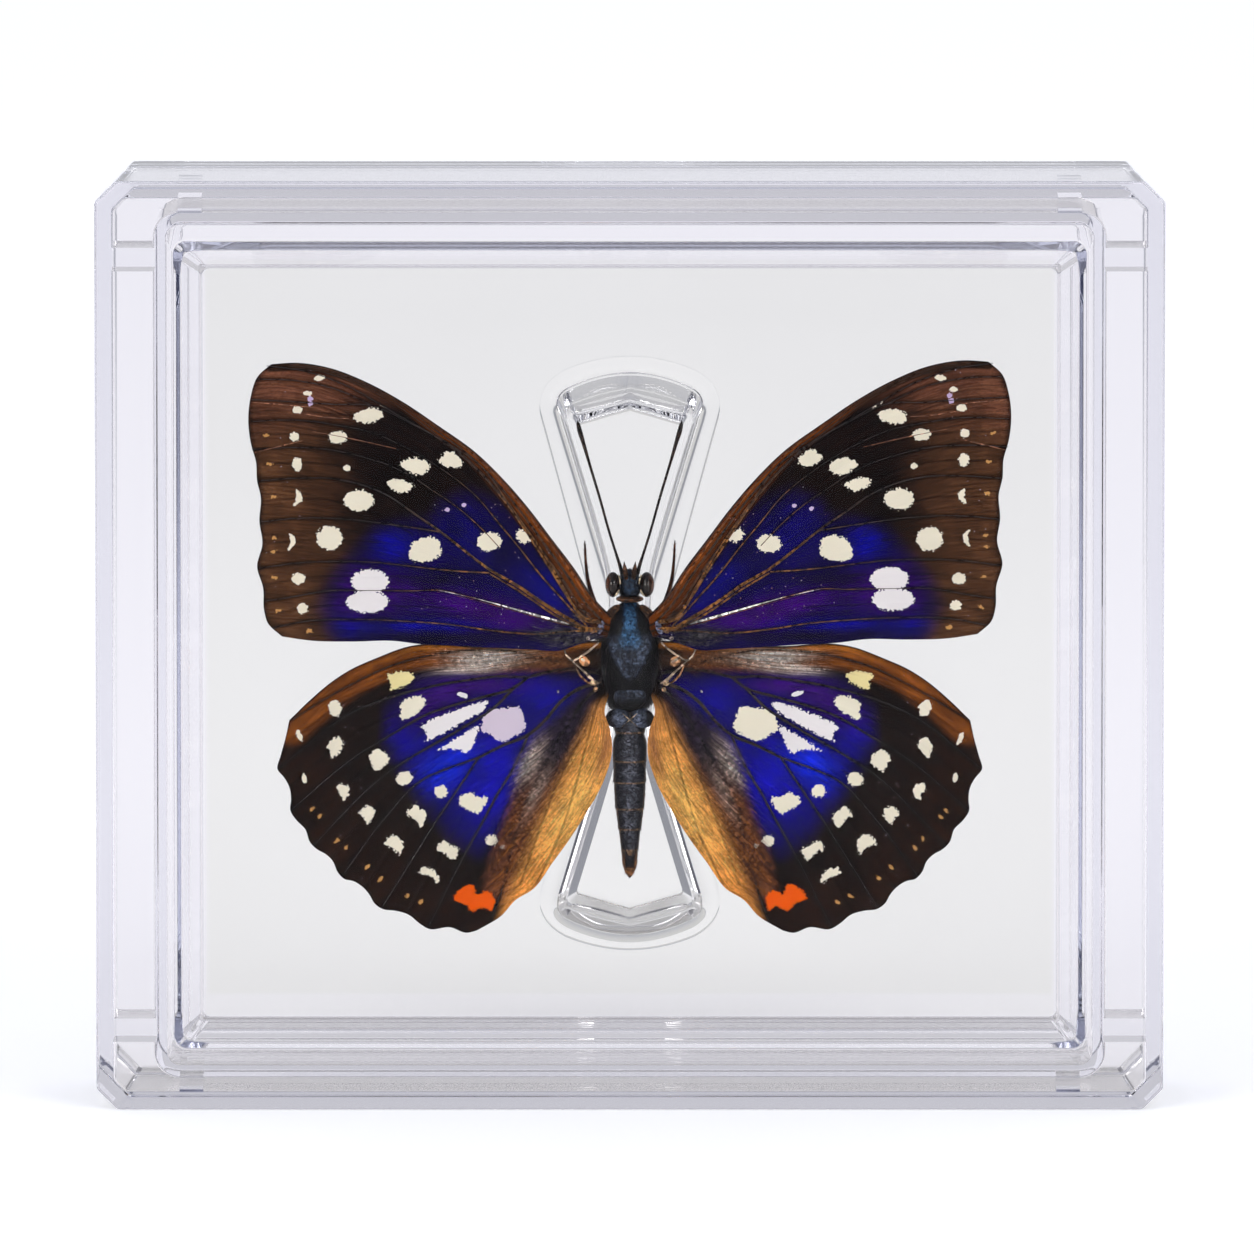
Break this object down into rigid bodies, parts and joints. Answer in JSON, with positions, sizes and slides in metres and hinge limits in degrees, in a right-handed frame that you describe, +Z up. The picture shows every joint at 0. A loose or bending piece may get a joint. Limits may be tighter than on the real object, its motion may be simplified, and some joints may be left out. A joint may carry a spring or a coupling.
{
  "type": "framed butterfly specimen",
  "caption": "Mounted blue and purple butterfly with spread wings on a clear hourglass stand, sealed in a clear two-part display case that stands upright.",
  "frame": {"origin": "middle of the long edge that the case stands on, at the middle of its depth", "axes": "+X to the right of someone facing the window, +Y from the window to the back plate, +Z up"},
  "size_m": [0.135, 0.028, 0.118],
  "materials": {
    "clear_acrylic": "clear moulded acrylic, polished",
    "wing_scales": "overlapping powdery scales, blue and purple sheen over dark brown, cream spots",
    "body_fur": "short dark hair and scales with a grey-blue sheen",
    "dark_horn": "thin dark chitin"
  },
  "bodies": {
    "root": {"case_front": "clear_acrylic", "case_back": "clear_acrylic", "thorax": "body_fur", "abdomen": "body_fur", "head": "body_fur", "palp_left": "body_fur", "palp_right": "body_fur", "forewing_left": "wing_scales", "forewing_right": "wing_scales", "hindwing_left": "wing_scales", "hindwing_right": "wing_scales", "antenna_left": "dark_horn", "antenna_right": "dark_horn", "leg_mid_left": "dark_horn", "leg_mid_right": "dark_horn", "leg_hind_left": "dark_horn", "leg_hind_right": "dark_horn"}
  },
  "joints": []
}
